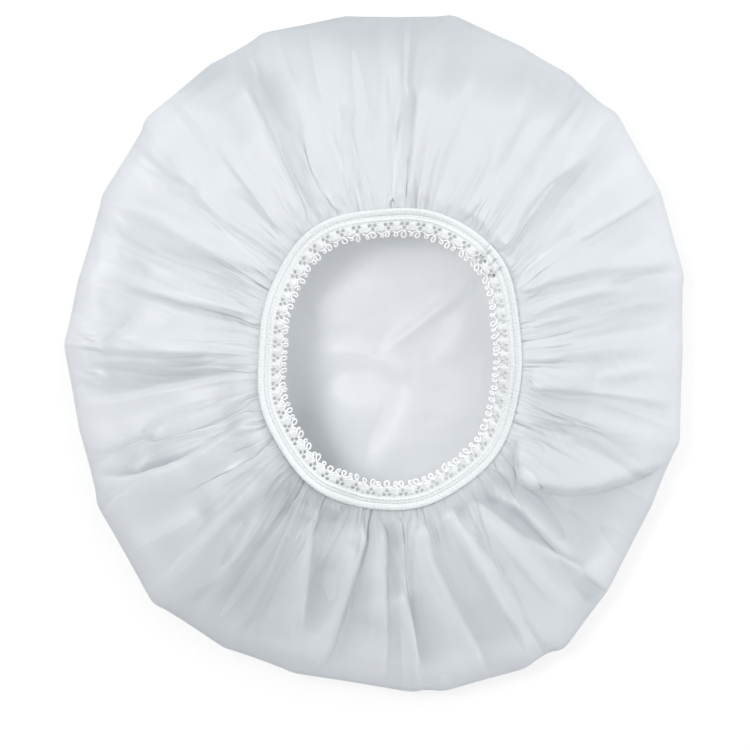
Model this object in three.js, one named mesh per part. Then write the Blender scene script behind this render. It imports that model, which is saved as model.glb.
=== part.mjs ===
// Shower cap lying on its crown, mouth up: a gathered disc of film on a picot-edged lace elastic band.
// Millimetres, X right, Y away, Z up. The origin is under the middle of the cap, where it rests.
import * as THREE from "three";

// The cap as it lies
const capWidth = 268;
const capLength = 292;
const filmWall = 0.12;
const crownEdgeShare = 0.8;
const crownTurnShare = 0.9;
const rollShare = 0.985;
const shoulderShare = 0.955;
const turnHeight = 1.6;
const rollHeight = 5.5;
const rimHeight = 11;
const shoulderHeight = 17;
const foldHeight = 3.4;
const foldOutShare = 0.1;
const foldUpShare = 0.9;
const foldLean = 0.3;

// The skirt between the rim and the mouth
const skirtShare = 0.5;
const skirtPuff = 2.8;
const pleatDepth = 1.5;
const pleatRise = 2.2;
const pleatStandoff = 6;
const seamStandoff = 0.6;
const evenShare = 0.5;

// The mouth, a lapped ring of lace elastic
const mouthWidth = 113;
const mouthLength = 129.5;
const mouthShiftX = 6.7;
const mouthShiftY = -2.4;
const mouthHeight = 34;
const mouthWave = 1.5;
const mouthSquareness = 2.25;
const joinBulge = 2.2;
const joinDegrees = 43;
const lapLength = 11;
const lapGap = 0.3;
const lapRiseDegrees = 40;

// Elastic cores laid in the selvedge of the band
const coreCount = 3;
const coreDiameter = 0.6;
const coreGap = 0.15;
const coreWall = 0.2;
const coreEdge = 0.45;
const knitCover = 0.25;

// Stitching through the band and the film
const stitchDiameter = 0.35;
const stitchGap = 0.3;
const stitchRise = 0.12;
const grooveDepth = 0.3;
const seamGap = 0.3;
const bobbinGap = 0.3;

// Openwork border of the band, across its width
const repeatCount = 54;
const borderMargin = 0.7;
const eyeletLength = 1.1;
const borderBar = 0.6;
const scallopWidth = 1.6;
const scallopDip = 0.7;
// Where a repeat's four parts start, as shares of it: the petal, then the three eyelets side by side
const partShares = [0, 0.4, 0.6, 0.8];
const eyeletShare = 0.7;
const petalShare = 0.2;

// Picot loops on the inner edge
const picotDiameter = 0.6;
const picotGap = 0.3;
const picotLift = 0.8;
const largeReach = 3;
const largeSwing = 1.8;
const smallReach = 2.2;
const smallSwing = 1.5;

// Bar tack that holds the lapped ends
const tackRuns = 8;
const tackShare = 0.6;
const tackMargin = 0.8;

// Facets
const columnsPerRepeat = 4;
const coreSteps = 48;
const seamSteps = 96;
const picotSteps = 6;
const strandSides = 4;
const coreSides = 5;
const unevenShare = 0.1;
const partsPerStep = 4;
const loopsCompared = 8;

// Folds at the rim from the right-hand side round to the left and back: each is the share of half the
// width, the share of half the length, the share of the full height, and how far it leans round.
const foldShares = [
  [1.0, 0.0, 0.7, 0.4], [1.0, 0.25, 0.9, -0.6], [0.93, 0.48, 0.7, 0.3], [0.8, 0.69, 1.4, 0.8],
  [0.63, 0.83, 0.8, -0.3], [0.46, 0.92, 0.7, -0.7], [0.27, 1.0, 1.0, 0.5], [-0.1, 1.0, 0.8, -0.4],
  [-0.34, 0.955, 1.1, 0.6], [-0.54, 0.85, 0.8, -0.5], [-0.71, 0.72, 1.0, 0.9], [-0.87, 0.48, 1.3, 0.4],
  [-0.96, 0.2, 0.7, -0.6], [-1.0, 0.02, 1.2, -0.3], [-0.955, -0.21, 0.8, 0.7], [-0.88, -0.47, 1.3, -0.8],
  [-0.72, -0.73, 1.4, 0.5], [-0.49, -0.87, 0.8, 0.3], [-0.24, -0.95, 1.4, -0.6], [0.09, -1.0, 1.0, 0.8],
  [0.24, -1.0, 0.7, -0.4], [0.47, -0.94, 1.2, 0.6], [0.64, -0.85, 0.8, -0.9], [0.76, -0.7, 1.1, -0.3],
  [0.89, -0.47, 0.9, 0.7], [0.99, -0.25, 1.4, -0.5],
];

// How far each fold spreads, as a share of the way to the next, and how strong it is, from the rim inwards
const flatFold = { spread: 0.46, strength: 0 };
const rollFold = { spread: 0.46, strength: 0.6 };
const rimFold = { spread: 0.45, strength: 0.75 };
const shoulderFold = { spread: 0.44, strength: 0.9 };
const skirtFold = { spread: 0.38, strength: 0.88 };

const degree = Math.PI / 180;
const fullTurn = 2 * Math.PI;
const foldCount = foldShares.length;

// Sizes that follow from the ones above
const channelSide = coreDiameter + 2 * coreGap;
const bandThickness = channelSide + 2 * knitCover;
const corePitch = channelSide + coreWall;
const selvedgeWidth = 2 * coreEdge + coreCount * channelSide + (coreCount - 1) * coreWall;
const grooveWidth = stitchDiameter + 2 * stitchGap;
const grooveCentre = selvedgeWidth + grooveWidth / 2;
const borderStart = selvedgeWidth + grooveWidth;
const outerEyelets = borderStart + borderMargin;
const innerEyelets = outerEyelets + eyeletLength + borderBar;
const borderEdge = innerEyelets + eyeletLength + scallopWidth;
const picotBase = borderEdge + picotGap + picotDiameter / 2;
const lapAngle = lapLength / (Math.min(mouthWidth, mouthLength) / 2);
const bandStart = joinDegrees * degree - lapAngle / 2;
const bandTurn = fullTurn + lapAngle;
const seamDrop = seamGap + filmWall / 2;

function smoothStep(from, to, value) {
  const share = Math.min(1, Math.max(0, (value - from) / (to - from)));
  return share * share * (3 - 2 * share);
}

// Distance from the middle of the mouth to the outer edge of the band
function mouthRadius(angle) {
  const across = Math.abs(Math.cos(angle)) / (mouthWidth / 2);
  const along = Math.abs(Math.sin(angle)) / (mouthLength / 2);
  const oval = (across ** mouthSquareness + along ** mouthSquareness) ** (-1 / mouthSquareness);
  const towardsJoin = Math.max(0, Math.cos(angle - joinDegrees * degree));
  return oval + joinBulge * towardsJoin ** 4;
}

// Height of the underside of the band, which waves a little as it lies on the gathers
function mouthLevel(angle) {
  return mouthHeight + mouthWave * Math.cos(2 * (angle - joinDegrees * degree));
}

function mouthPoint(angle, across, height) {
  const radius = mouthRadius(angle) - across;
  return new THREE.Vector3(
    mouthShiftX + radius * Math.cos(angle),
    mouthShiftY + radius * Math.sin(angle),
    height,
  );
}

// A place on the band: how far round it runs, how far in from its outer edge, how far above its underside
function bandPoint(turned, across, up) {
  const angle = bandStart + turned;
  const rise = (bandThickness + lapGap) * smoothStep(fullTurn - lapRiseDegrees * degree, fullTurn, turned);
  return mouthPoint(angle, across, mouthLevel(angle) + rise + up);
}

function makeGeometry(points, faces) {
  const geometry = new THREE.BufferGeometry();
  geometry.setAttribute("position", new THREE.Float32BufferAttribute(points.flatMap((p) => p.toArray()), 3));
  geometry.setIndex(faces.flat());
  geometry.computeVertexNormals();
  return geometry;
}

// A round yarn along a path; a closed path joins its last step to its first
function strand(path, diameter, sides, closed) {
  const count = path.length;
  const points = [];
  const faces = [];
  let side = new THREE.Vector3(0, 0, 1);
  path.forEach((centre, step) => {
    const before = closed ? path[(step + count - 1) % count] : path[Math.max(0, step - 1)];
    const after = closed ? path[(step + 1) % count] : path[Math.min(count - 1, step + 1)];
    const along = after.clone().sub(before).normalize();
    side = side.clone().addScaledVector(along, -side.dot(along)).normalize();
    const other = new THREE.Vector3().crossVectors(along, side);
    for (let corner = 0; corner < sides; corner += 1) {
      const turn = (fullTurn * (corner + 0.5)) / sides;
      const offset = side.clone().multiplyScalar(Math.cos(turn)).addScaledVector(other, Math.sin(turn));
      points.push(centre.clone().addScaledVector(offset, diameter / 2));
    }
  });
  const spans = closed ? count : count - 1;
  for (let step = 0; step < spans; step += 1) {
    const next = (step + 1) % count;
    for (let corner = 0; corner < sides; corner += 1) {
      const beside = (corner + 1) % sides;
      const a = step * sides + corner;
      const b = step * sides + beside;
      const c = next * sides + corner;
      const d = next * sides + beside;
      faces.push([a, b, c], [b, d, c]);
    }
  }
  if (!closed) {
    const last = (count - 1) * sides;
    for (let corner = 1; corner < sides - 1; corner += 1) {
      faces.push([0, corner + 1, corner], [last, last + corner, last + corner + 1]);
    }
  }
  return makeGeometry(points, faces);
}

// The mean surface of the film is a net of rings from the middle of the crown out to the rim and in again
function foldPlace(panel, share) {
  const [x0, y0] = foldShares[panel % foldCount];
  const [x1, y1] = foldShares[(panel + 1) % foldCount];
  const x = (x0 + (x1 - x0) * share) * (capWidth / 2);
  const y = (y0 + (y1 - y0) * share) * (capLength / 2);
  return new THREE.Vector3(x, y, 0);
}

// The broad folds: each is a rounded ridge at a corner of the rim, which dies away to both sides
function foldSum(panel, share, spread, valueOf) {
  const count = panel + share;
  let sum = 0;
  foldShares.forEach((fold, number) => {
    const turns = Math.round((count - number) / foldCount);
    const away = count - number - turns * foldCount;
    sum += valueOf(fold) * Math.exp(-((away / spread) ** 2));
  });
  return sum;
}

function foldRise(panel, share, { spread, strength }) {
  return foldHeight * strength * foldSum(panel, share, spread, (fold) => fold[2]);
}

// The share of the rim's panels at which a point of a leaning fold comes to lie
function leaning(panel, share, { spread, strength }) {
  const count = panel + share + foldLean * strength * foldSum(panel, share, spread, (fold) => fold[3]);
  const whole = Math.floor(count);
  return [(whole + foldCount) % foldCount, count - whole];
}

function pleatWave(panel, share) {
  const near = foldShares[panel % foldCount][2];
  const far = foldShares[(panel + 1) % foldCount][2];
  const ridges = Math.cos(2 * fullTurn * share);
  return ridges > 0 ? ridges * (near + far) / 2 : ridges;
}

// Folds run to the mouth nearly straight, a little more evenly spaced there than at the rim
function mouthAngle(panel, share) {
  const place = foldPlace(panel, share);
  let angle = Math.atan2(place.y, place.x);
  const evenAngle = (fullTurn * (panel + share)) / foldCount;
  while (angle < evenAngle - Math.PI) angle += fullTurn;
  return angle + (evenAngle - angle) * evenShare;
}

function outerRing(quarters, reachShare, height, fold) {
  return { quarters, place: (panel, share) => {
    const rise = foldRise(panel, share, fold);
    const point = foldPlace(...leaning(panel, share, fold)).multiplyScalar(reachShare);
    const outwards = point.clone().normalize().multiplyScalar(foldOutShare * rise);
    return point.add(outwards).setZ(height + foldUpShare * rise);
  } };
}

function seamPlace(panel, share, across) {
  const angle = mouthAngle(panel, share);
  return mouthPoint(angle, across, mouthLevel(angle) - seamDrop);
}

function skirtRing() {
  return { quarters: 4, place: (panel, share) => {
    const [nearPanel, nearShare] = leaning(panel, share, skirtFold);
    const rim = foldPlace(nearPanel, nearShare).multiplyScalar(shoulderShare).setZ(shoulderHeight);
    const point = rim.lerp(seamPlace(nearPanel, nearShare, -pleatStandoff), skirtShare);
    return point.setZ(point.z + skirtPuff + foldRise(panel, share, skirtFold));
  } };
}

function pleatRing() {
  return { quarters: 4, place: (panel, share) => {
    const point = seamPlace(panel, share, -pleatStandoff);
    const sunk = Math.max(0, -pleatWave(panel, share));
    return point.setZ(point.z + pleatRise - pleatDepth * sunk);
  } };
}

function seamRing(across) {
  return { quarters: 4, place: (panel, share) => seamPlace(panel, share, across) };
}

function film() {
  const flatHeight = filmWall / 2;
  const rings = [
    outerRing(1, crownEdgeShare, flatHeight, flatFold),
    outerRing(1, crownTurnShare, turnHeight, flatFold),
    outerRing(2, rollShare, rollHeight, rollFold),
    outerRing(2, 1, rimHeight, rimFold),
    outerRing(2, shoulderShare, shoulderHeight, shoulderFold),
    skirtRing(),
    pleatRing(),
    seamRing(-seamStandoff),
    seamRing(borderStart),
  ];
  const mean = [new THREE.Vector3(0, 0, flatHeight)];
  rings.forEach((ring) => {
    ring.first = mean.length;
    ring.columns = foldCount * ring.quarters;
    for (let column = 0; column < ring.columns; column += 1) {
      const panel = Math.floor(column / ring.quarters);
      mean.push(ring.place(panel, (column % ring.quarters) / ring.quarters));
    }
  });
  const faces = [];
  const at = (ring, column) => ring.first + (column % ring.columns);
  for (let column = 0; column < rings[0].columns; column += 1) {
    faces.push([0, at(rings[0], column + 1), at(rings[0], column)]);
  }
  rings.slice(1).forEach((outer, index) => {
    const inner = rings[index];
    for (let column = 0; column < inner.columns; column += 1) {
      const a = at(inner, column);
      const b = at(inner, column + 1);
      if (outer.columns === inner.columns) {
        const c = at(outer, column);
        const d = at(outer, column + 1);
        faces.push([a, b, d], [a, d, c]);
      } else {
        const c = at(outer, 2 * column);
        const d = at(outer, 2 * column + 1);
        const e = at(outer, 2 * column + 2);
        faces.push([a, d, c], [a, b, d], [b, e, d]);
      }
    }
  });
  return thicken(mean, faces, rings[0], rings[rings.length - 1]);
}

// Gives the film its wall; the crown is thickened straight up and down, so that it lies flat
function thicken(mean, faces, crownRing, freeEdge) {
  const surface = makeGeometry(mean, faces);
  const normals = surface.getAttribute("normal");
  const crownEnd = crownRing.first + crownRing.columns;
  const offsets = mean.map((point, index) => {
    const normal = new THREE.Vector3().fromBufferAttribute(normals, index);
    return (index < crownEnd ? new THREE.Vector3(0, 0, -1) : normal).multiplyScalar(filmWall / 2);
  });
  const outside = mean.map((point, index) => point.clone().add(offsets[index]));
  const inside = mean.map((point, index) => point.clone().sub(offsets[index]));
  const count = mean.length;
  const turned = faces.map(([a, b, c]) => [a + count, c + count, b + count]);
  const edge = [];
  for (let column = 0; column < freeEdge.columns; column += 1) {
    const a = freeEdge.first + column;
    const b = freeEdge.first + ((column + 1) % freeEdge.columns);
    edge.push([a, b, b + count], [a, b + count, a + count]);
  }
  return makeGeometry([...outside, ...inside], [...faces, ...turned, ...edge]);
}

// The knitted band is one strip with lapped ends, pierced by eyelets and by a channel for each core
function laceBand() {
  const columns = repeatCount * columnsPerRepeat;
  const grooveSlope = grooveWidth / 4;
  const floorUp = bandThickness - grooveDepth;
  const edgeUp = bandThickness - knitCover;
  const rows = [
    { across: 0, up: bandThickness, every: 2 },
    { across: selvedgeWidth, up: bandThickness, every: 2 },
    { across: selvedgeWidth + grooveSlope, up: floorUp, every: 2 },
    { across: borderStart - grooveSlope, up: floorUp, every: 2 },
    { across: borderStart, up: bandThickness, every: 1 },
    { across: outerEyelets, up: bandThickness, every: 1, eyelet: 1 },
    { across: outerEyelets + eyeletLength, up: bandThickness, every: 1 },
    { across: innerEyelets, up: bandThickness, every: 1, eyelet: 2 },
    { across: innerEyelets + eyeletLength, up: bandThickness, every: 1 },
    { across: borderEdge, up: edgeUp, every: 1, scallop: true },
    { across: borderEdge, up: 0, every: 1, scallop: true },
    { across: innerEyelets + eyeletLength, up: 0, every: 1, eyelet: 2 },
    { across: innerEyelets, up: 0, every: 1 },
    { across: outerEyelets + eyeletLength, up: 0, every: 1, eyelet: 1 },
    { across: outerEyelets, up: 0, every: 1 },
    { across: 0, up: 0, every: 2 },
  ];
  const points = [];
  const faces = [];
  const shareAt = (column) => partShares[column % columnsPerRepeat];
  const turnedAt = (column) => (bandTurn * (Math.floor(column / columnsPerRepeat) + shareAt(column))) / repeatCount;
  rows.forEach((row) => {
    row.vertex = [];
    for (let column = 0; column <= columns; column += row.every) {
      const dip = row.scallop ? scallopDip * (0.5 + 0.5 * Math.cos(fullTurn * (shareAt(column) - eyeletShare))) : 0;
      row.vertex[column] = points.length;
      points.push(bandPoint(turnedAt(column), row.across - dip, row.up));
    }
  });
  const isEyelet = (kind, column) => {
    const place = column % columnsPerRepeat;
    return (kind === 1 && place % 2 === 1) || (kind === 2 && place === 2);
  };
  rows.forEach((row, index) => {
    const next = rows[(index + 1) % rows.length];
    for (let column = 0; column < columns; column += Math.max(row.every, next.every)) {
      const a = row.vertex[column];
      const b = next.vertex[column];
      if (row.every === next.every) {
        const c = row.vertex[column + row.every];
        const d = next.vertex[column + row.every];
        if (!(row.eyelet && isEyelet(row.eyelet, column))) faces.push([a, c, b], [b, c, d]);
      } else if (row.every > next.every) {
        const c = row.vertex[column + 2];
        faces.push([a, c, next.vertex[column + 1]], [a, next.vertex[column + 1], b]);
        faces.push([c, next.vertex[column + 2], next.vertex[column + 1]]);
      } else {
        const middle = row.vertex[column + 1];
        const d = next.vertex[column + 2];
        faces.push([a, middle, b], [middle, d, b], [middle, row.vertex[column + 2], d]);
      }
    }
  });
  // Walls of the eyelets, from the top rows down to the rows below them
  const rowPairs = [[5, 6, 14, 13], [7, 8, 12, 11]];
  rowPairs.forEach(([outer, inner, outerBelow, innerBelow]) => {
    for (let column = 0; column < columns; column += 1) {
      if (isEyelet(rows[outer].eyelet, column)) {
        const above = [[outer, column], [outer, column + 1], [inner, column + 1], [inner, column]];
        const below = [[outerBelow, column], [outerBelow, column + 1], [innerBelow, column + 1], [innerBelow, column]];
        above.forEach(([row, place], corner) => {
          const [nextRow, nextPlace] = above[(corner + 1) % above.length];
          const [rowUnder, placeUnder] = below[corner];
          const [nextUnder, nextPlaceUnder] = below[(corner + 1) % below.length];
          const a = rows[row].vertex[place];
          const b = rows[nextRow].vertex[nextPlace];
          const c = rows[nextUnder].vertex[nextPlaceUnder];
          const d = rows[rowUnder].vertex[placeUnder];
          faces.push([a, b, c], [a, c, d]);
        });
      }
    }
  });
  const channels = [];
  for (let core = 0; core < coreCount; core += 1) channels.push(channel(core, points, faces));
  closeEnd(rows, channels, points, faces, 0, columns);
  closeEnd(rows, channels, points, faces, columns, columns);
  return makeGeometry(points, faces);
}

function coreAcross(core) {
  return coreEdge + channelSide / 2 + core * corePitch;
}

// A square tunnel round the band, with its corners kept for the two ends
function channel(core, points, faces) {
  const half = channelSide / 2;
  const middleUp = bandThickness / 2;
  const corners = [[-half, -half], [half, -half], [half, half], [-half, half]];
  const first = points.length;
  for (let step = 0; step <= coreSteps; step += 1) {
    corners.forEach(([across, up]) => {
      points.push(bandPoint((bandTurn * step) / coreSteps, coreAcross(core) + across, middleUp + up));
    });
  }
  for (let step = 0; step < coreSteps; step += 1) {
    corners.forEach((unused, corner) => {
      const beside = (corner + 1) % corners.length;
      const a = first + step * corners.length + corner;
      const b = first + step * corners.length + beside;
      const c = a + corners.length;
      const d = b + corners.length;
      faces.push([a, c, b], [b, c, d]);
    });
  }
  // On the flat cut, one channel is drawn a little taller than the next, so that no three corners line up
  const taller = 1 + (unevenShare * core) / coreCount;
  return corners.map(([across, up], corner) => ({
    flat: new THREE.Vector2(coreAcross(core) + across, middleUp + up * taller),
    start: first + corner,
    end: first + coreSteps * corners.length + corner,
  }));
}

// Closes one cut end of the band round the mouths of the channels
function closeEnd(rows, channels, points, faces, column, columns) {
  const isStart = column === 0;
  // The outline is drawn in a little between its corners, so that the cut keeps every point along its sides
  const outline = rows.map((row) => {
    const across = row.across - (row.scallop ? scallopDip : 0);
    const along = across / borderEdge;
    const drawnIn = knitCover * along * (1 - along) * (row.up > bandThickness / 2 ? -1 : 1);
    return {
      flat: new THREE.Vector2(across, row.up + drawnIn),
      vertex: row.vertex[isStart ? 0 : columns],
    };
  });
  const holes = channels.map((corners) => corners.map((corner) => ({
    flat: corner.flat,
    vertex: isStart ? corner.start : corner.end,
  })));
  const all = [...outline, ...holes.flat()];
  const cut = THREE.ShapeUtils.triangulateShape(
    outline.map((corner) => corner.flat),
    holes.map((hole) => hole.map((corner) => corner.flat)),
  );
  cut.forEach(([a, b, c]) => {
    const area = (all[b].flat.x - all[a].flat.x) * (all[c].flat.y - all[a].flat.y)
      - (all[c].flat.x - all[a].flat.x) * (all[b].flat.y - all[a].flat.y);
    const facesForward = area > 0;
    const order = facesForward === isStart ? [a, c, b] : [a, b, c];
    faces.push(order.map((corner) => all[corner].vertex));
  });
}

function elasticCore(core) {
  const path = [];
  for (let step = 0; step <= coreSteps; step += 1) {
    path.push(bandPoint((bandTurn * step) / coreSteps, coreAcross(core), bandThickness / 2));
  }
  return strand(path, coreDiameter, coreSides, false);
}

// One yarn that runs along the inner edge and swings back on itself into a large and a small loop at each repeat
function picotYarn() {
  const path = [];
  const repeatTurn = bandTurn / repeatCount;
  const hiddenRepeats = Math.ceil(lapAngle / repeatTurn);
  const laceRadius = mouthRadius(0) - picotBase;
  const loops = [[petalShare, smallReach, smallSwing], [eyeletShare, largeReach, largeSwing]];
  for (let repeat = hiddenRepeats; repeat < repeatCount; repeat += 1) {
    loops.forEach(([place, reach, swing]) => {
      for (let step = 0; step < picotSteps; step += 1) {
        const share = step / picotSteps - 0.5;
        const phase = fullTurn * share;
        const along = repeatTurn * (repeat + place + share / loops.length);
        const across = picotBase + (reach - picotDiameter) * (0.5 + 0.5 * Math.cos(phase));
        const up = bandThickness / 2 + picotLift * Math.sin(phase);
        path.push(bandPoint(along - (swing / laceRadius) * Math.sin(phase), across, up));
      }
    });
  }
  reportLeastGap(path, picotDiameter, picotSteps);
  return strand(path, picotDiameter, strandSides, false);
}

// Prints the least gap of a looped yarn to itself, from points along it, its near neighbours left out
function reportLeastGap(path, diameter, stepsPerLoop) {
  const line = [];
  for (let step = 0; step < path.length - 1; step += 1) {
    for (let part = 0; part < partsPerStep; part += 1) {
      line.push(path[step].clone().lerp(path[step + 1], part / partsPerStep));
    }
  }
  let least = Infinity;
  for (let a = 0; a < line.length; a += 1) {
    for (let b = a + stepsPerLoop; b < Math.min(line.length, a + stepsPerLoop * loopsCompared); b += 1) {
      least = Math.min(least, line[a].distanceTo(line[b]) - diameter);
    }
  }
  console.log("least gap of the picot yarn to itself, mm:", least.toFixed(2));
}

// The needle thread lies in the groove on top, dipping at each stitch
function needleThread() {
  const path = [];
  const lowUp = bandThickness - grooveDepth + stitchGap + stitchDiameter / 2;
  const start = lapAngle;
  const end = fullTurn - lapAngle / 2;
  for (let step = 0; step <= seamSteps; step += 1) {
    const turned = start + ((end - start) * step) / seamSteps;
    path.push(bandPoint(turned, grooveCentre, lowUp + (step % 2) * stitchRise));
  }
  return strand(path, stitchDiameter, strandSides, false);
}

// The bobbin thread runs right round under the film, below the needle thread
function bobbinThread() {
  const path = [];
  const depth = seamGap + filmWall + bobbinGap + stitchDiameter / 2;
  for (let step = 0; step < seamSteps; step += 1) {
    const angle = (fullTurn * step) / seamSteps;
    path.push(mouthPoint(angle, selvedgeWidth / 2, mouthLevel(angle) - depth));
  }
  return strand(path, stitchDiameter, strandSides, true);
}

// A meander of thread to and fro across the border where one end of the band lies over the other
function joinTack() {
  const path = [];
  const up = bandThickness + stitchGap + stitchDiameter / 2;
  const near = tackMargin;
  const far = borderEdge - scallopDip - tackMargin;
  for (let run = 0; run < tackRuns; run += 1) {
    const share = (1 - tackShare) / 2 + (tackShare * run) / (tackRuns - 1);
    const turned = fullTurn + lapAngle * share;
    const ends = run % 2 === 0 ? [near, far] : [far, near];
    ends.forEach((across) => path.push(bandPoint(turned, across, up)));
  }
  return strand(path, stitchDiameter, strandSides, false);
}

function material(color, roughness) {
  return new THREE.MeshStandardMaterial({ color, roughness, metalness: 0 });
}

const filmPlastic = material("#e1e6e9", 0.35);
const whiteKnit = material("#fafafa", 0.85);
const rubber = material("#e8e4da", 0.6);
const thread = material("#f6f6f4", 0.7);

const cap = new THREE.Group();

function addPiece(name, geometry, finish) {
  const mesh = new THREE.Mesh(geometry, finish);
  mesh.name = name;
  cap.add(mesh);
}

addPiece("cap_film", film(), filmPlastic);
addPiece("lace_band", laceBand(), whiteKnit);
for (let core = 0; core < coreCount; core += 1) addPiece(`elastic_core_${core + 1}`, elasticCore(core), rubber);
addPiece("picot_yarn", picotYarn(), whiteKnit);
addPiece("needle_thread", needleThread(), thread);
addPiece("bobbin_thread", bobbinThread(), thread);
addPiece("join_tack", joinTack(), thread);

export default cap;
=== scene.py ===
"""A shower cap lying on its crown with its mouth up.

A disc of milky film is gathered under a lapped ring of lace elastic, whose inner edge carries
picot loops. Lengths are millimetres in the tables and the named values up to the lights, and
metres in the objects.
"""

import math

import bmesh
import bpy
import numpy as np
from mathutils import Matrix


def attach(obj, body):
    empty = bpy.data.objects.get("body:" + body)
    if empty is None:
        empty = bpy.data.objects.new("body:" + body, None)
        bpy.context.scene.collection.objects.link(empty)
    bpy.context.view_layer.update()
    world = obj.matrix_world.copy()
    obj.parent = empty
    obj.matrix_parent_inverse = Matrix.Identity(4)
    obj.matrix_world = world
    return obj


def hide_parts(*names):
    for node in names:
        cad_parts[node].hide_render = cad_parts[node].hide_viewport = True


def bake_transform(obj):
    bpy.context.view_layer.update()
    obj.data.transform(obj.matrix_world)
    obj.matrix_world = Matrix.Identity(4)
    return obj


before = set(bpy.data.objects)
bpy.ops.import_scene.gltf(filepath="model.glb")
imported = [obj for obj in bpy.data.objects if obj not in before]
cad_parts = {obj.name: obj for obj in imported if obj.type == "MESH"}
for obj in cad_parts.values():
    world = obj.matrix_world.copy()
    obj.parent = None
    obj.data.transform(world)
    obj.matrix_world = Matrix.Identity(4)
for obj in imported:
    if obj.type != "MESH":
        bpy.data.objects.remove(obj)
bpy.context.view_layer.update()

MM = 0.001
TURN = 2 * math.pi

# The cap as it lies
CAP_WIDTH = 268
CAP_LENGTH = 292
DISC_RADIUS = 238
MOUTH_WIDTH = 113
MOUTH_LENGTH = 129.5
MOUTH_SHIFT = (6.7, -2.4)
MOUTH_HEIGHT = 34
MOUTH_WAVE = 1.5
MOUTH_SQUARENESS = 2.25
JOIN_BULGE = 2.2
JOIN_ANGLE = math.radians(43)
LAP_LENGTH = 11
LAP_GAP = 0.3
LAP_RISE = math.radians(40)

# How the soft band strays on its way round, as waves: how far, how many to a turn, and where each starts
OUTWARD_WAVES = [(0.5, 5, 1.0), (0.35, 9, 2.2)]
UPWARD_WAVES = [(0.3, 6, 0.4)]
TIP_WAVES = [(1.1, 3, 2.0), (0.6, 7, 0.0)]
# The one place where its inner edge turns up: how wide that is, how far it tips and how far it draws in
TWIST_ANGLE = math.radians(251)
TWIST_SPREAD = 0.003
TWIST_TIP = 1.6
TWIST_DRAW = 1.1

# The band across and along, and how far below it the film is sewn on
BAND_THICKNESS = 1.4
BORDER_EDGE = 10.05
SCALLOP_DIP = 0.7
REPEATS = 54
REPEAT_LENGTH = 6.5
SEAM_DROP = 0.36

LAP_ANGLE = LAP_LENGTH / (MOUTH_WIDTH / 2)
BAND_START = JOIN_ANGLE - LAP_ANGLE / 2
BAND_TURN = TURN + LAP_ANGLE
BAND_LENGTH = REPEATS * REPEAT_LENGTH

# Folds at the rim from the right-hand side round to the left and back: each is the share of half the
# width, the share of half the length, the share of the full height, and how far it leans round.
FOLD_SHARES = [
    (1.0, 0.0, 0.7, 0.4), (1.0, 0.25, 0.9, -0.6), (0.93, 0.48, 0.7, 0.3), (0.8, 0.69, 1.4, 0.8),
    (0.63, 0.83, 0.8, -0.3), (0.46, 0.92, 0.7, -0.7), (0.27, 1.0, 1.0, 0.5), (-0.1, 1.0, 0.8, -0.4),
    (-0.34, 0.955, 1.1, 0.6), (-0.54, 0.85, 0.8, -0.5), (-0.71, 0.72, 1.0, 0.9), (-0.87, 0.48, 1.3, 0.4),
    (-0.96, 0.2, 0.7, -0.6), (-1.0, 0.02, 1.2, -0.3), (-0.955, -0.21, 0.8, 0.7), (-0.88, -0.47, 1.3, -0.8),
    (-0.72, -0.73, 1.4, 0.5), (-0.49, -0.87, 0.8, 0.3), (-0.24, -0.95, 1.4, -0.6), (0.09, -1.0, 1.0, 0.8),
    (0.24, -1.0, 0.7, -0.4), (0.47, -0.94, 1.2, 0.6), (0.64, -0.85, 0.8, -0.9), (0.76, -0.7, 1.1, -0.3),
    (0.89, -0.47, 0.9, 0.7), (0.99, -0.25, 1.4, -0.5),
]
FOLDS = len(FOLD_SHARES)


# ---- small helpers

def ramp(value, start, end):
    return np.clip((value - start) / (end - start), 0, 1)


def smooth(value, start, end):
    share = ramp(value, start, end)
    return share * share * (3 - 2 * share)


def within(value, start, full, last, end):
    """1 from full to last, 0 before the start and beyond the end, and soft between."""
    return smooth(value, start, full) * smooth(value, end, last)


def part_way(pair, share):
    return pair[0] + (pair[1] - pair[0]) * share


def srgb(text):
    """A colour written as the eye sees it, turned into the linear numbers that shaders use."""
    parts = [int(text[i:i + 2], 16) / 255 for i in (1, 3, 5)]
    return tuple(p / 12.92 if p <= 0.04045 else ((p + 0.055) / 1.055) ** 2.4 for p in parts) + (1.0,)


def add_object(name, data):
    obj = bpy.data.objects.new(name, data)
    bpy.context.scene.collection.objects.link(obj)
    return obj


def mesh_from(bm, name, smooth_faces=True):
    mesh = bpy.data.meshes.new(name)
    bm.to_mesh(mesh)
    bm.free()
    mesh.polygons.foreach_set("use_smooth", [smooth_faces] * len(mesh.polygons))
    return add_object(name, mesh)


def positions(mesh):
    flat = np.empty(len(mesh.vertices) * 3, np.float32)
    mesh.vertices.foreach_get("co", flat)
    return flat.reshape(-1, 3).astype(float)


def move_to(mesh, points):
    mesh.vertices.foreach_set("co", points.astype(np.float32).ravel())
    mesh.update()


def lay_out(mesh, flat):
    """Keeps where each point lay when the piece was flat, in metres, for its materials."""
    layer = mesh.uv_layers.new(name="flat")
    corner = np.empty(len(mesh.loops), np.int32)
    mesh.loops.foreach_get("vertex_index", corner)
    layer.data.foreach_set("uv", flat[corner, :2].astype(np.float32).ravel())


def keep_values(mesh, name, values):
    """Keeps a number or a vector for each point of a piece, for its materials."""
    kind, field = ("FLOAT_VECTOR", "vector") if values.ndim == 2 else ("FLOAT", "value")
    layer = mesh.attributes.new(name, kind, "POINT")
    layer.data.foreach_set(field, values.astype(np.float32).ravel())


# ---- the ring of the mouth

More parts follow.
